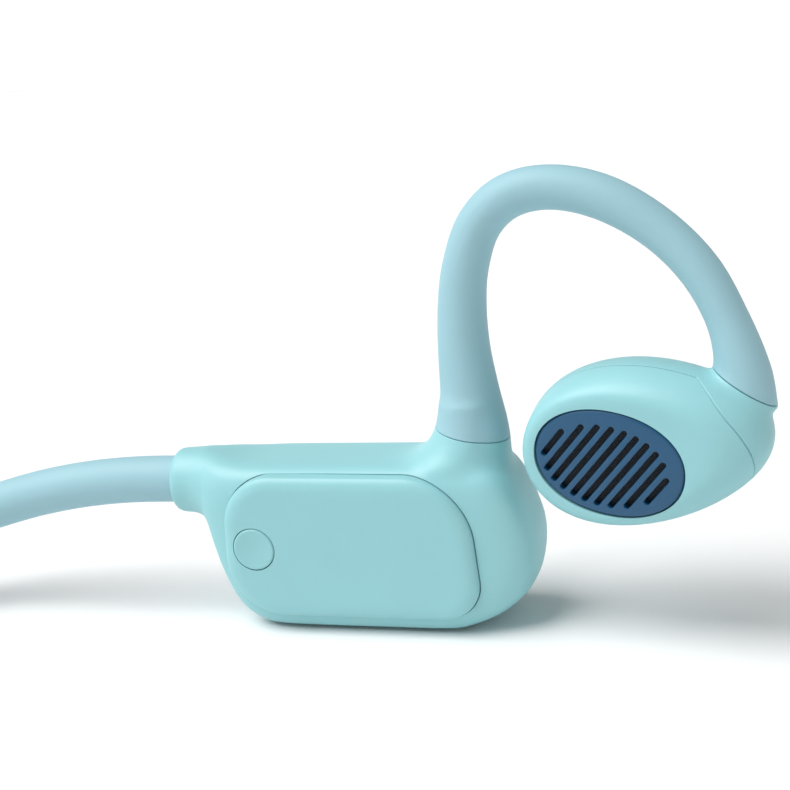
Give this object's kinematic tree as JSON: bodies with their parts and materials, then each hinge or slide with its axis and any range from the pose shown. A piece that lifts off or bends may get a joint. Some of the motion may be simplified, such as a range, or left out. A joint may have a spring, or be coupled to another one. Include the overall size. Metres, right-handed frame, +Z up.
{
  "type": "neckband headphones",
  "caption": "Open-ear neckband headphones: two over-ear hook units with slotted speaker pods, joined by a sprung silicone band behind the neck.",
  "frame": {"origin": "centre of the bounding box in X and Y, on the plane the headset stands on", "axes": "+X towards the wearer's front, +Y towards the wearer's left, +Z up; the mirror plane of the two units is XZ"},
  "size_m": [0.1267, 0.1226, 0.0481],
  "materials": {
    "shell_plastic": "satin moulded",
    "hook_silicone": "matte, soft touch",
    "band_silicone": "matte, soft touch",
    "grille_navy": "satin moulded",
    "mesh_dark": "fine woven",
    "sprung_wire": "drawn titanium",
    "cable": "extruded jacket",
    "inner_plastic": "moulded",
    "magnet": "nickel plated",
    "coil": "lacquered copper",
    "diaphragm": "thin film",
    "cell": "laminated pouch",
    "board": "solder mask",
    "shield": "tin plated",
    "switch": "stamped dome",
    "contact": "gold plated"
  },
  "bodies": {
    "headset": {"neck_sleeve": "band_silicone", "neck_wire": "sprung_wire", "neck_cable": "cable", "module_shell_l": "shell_plastic", "module_shell_r": "shell_plastic", "module_panel_l": "shell_plastic", "module_panel_r": "shell_plastic", "hook_sleeve_l": "hook_silicone", "hook_sleeve_r": "hook_silicone", "hook_wire_l": "sprung_wire", "hook_wire_r": "sprung_wire", "wire_anchor_l": "inner_plastic", "wire_anchor_r": "inner_plastic", "pod_shell_l": "shell_plastic", "pod_shell_r": "shell_plastic", "pod_cap_l": "shell_plastic", "pod_cap_r": "shell_plastic", "grille_l": "grille_navy", "grille_r": "grille_navy", "grille_mesh_l": "mesh_dark", "grille_mesh_r": "mesh_dark", "diaphragm_l": "diaphragm", "diaphragm_r": "diaphragm", "voice_coil_l": "coil", "voice_coil_r": "coil", "driver_magnet_l": "magnet", "driver_magnet_r": "magnet", "driver_basket_l": "inner_plastic", "driver_basket_r": "inner_plastic", "battery_cell": "cell", "battery_board": "board", "button_switch": "switch", "main_board": "board", "radio_shield": "shield", "key_board": "board", "key_switches": "switch", "charge_contacts": "contact", "charge_magnets": "magnet"},
    "function_button": {"function_button": "shell_plastic"},
    "volume_up_key": {"volume_up_key": "shell_plastic"},
    "volume_down_key": {"volume_down_key": "shell_plastic"}
  },
  "joints": [
    {"name": "function_button_press", "type": "slide", "parent": "headset", "child": "function_button", "axis": [0, 1, 0], "range_m": [0, 0.0003], "stiffness_N_per_m": 3000},
    {"name": "volume_up_press", "type": "slide", "parent": "headset", "child": "volume_up_key", "axis": [0, 0, -1], "range_m": [0, 0.0003], "stiffness_N_per_m": 3000},
    {"name": "volume_down_press", "type": "slide", "parent": "headset", "child": "volume_down_key", "axis": [0, 0, -1], "range_m": [0, 0.0003], "stiffness_N_per_m": 3000}
  ]
}
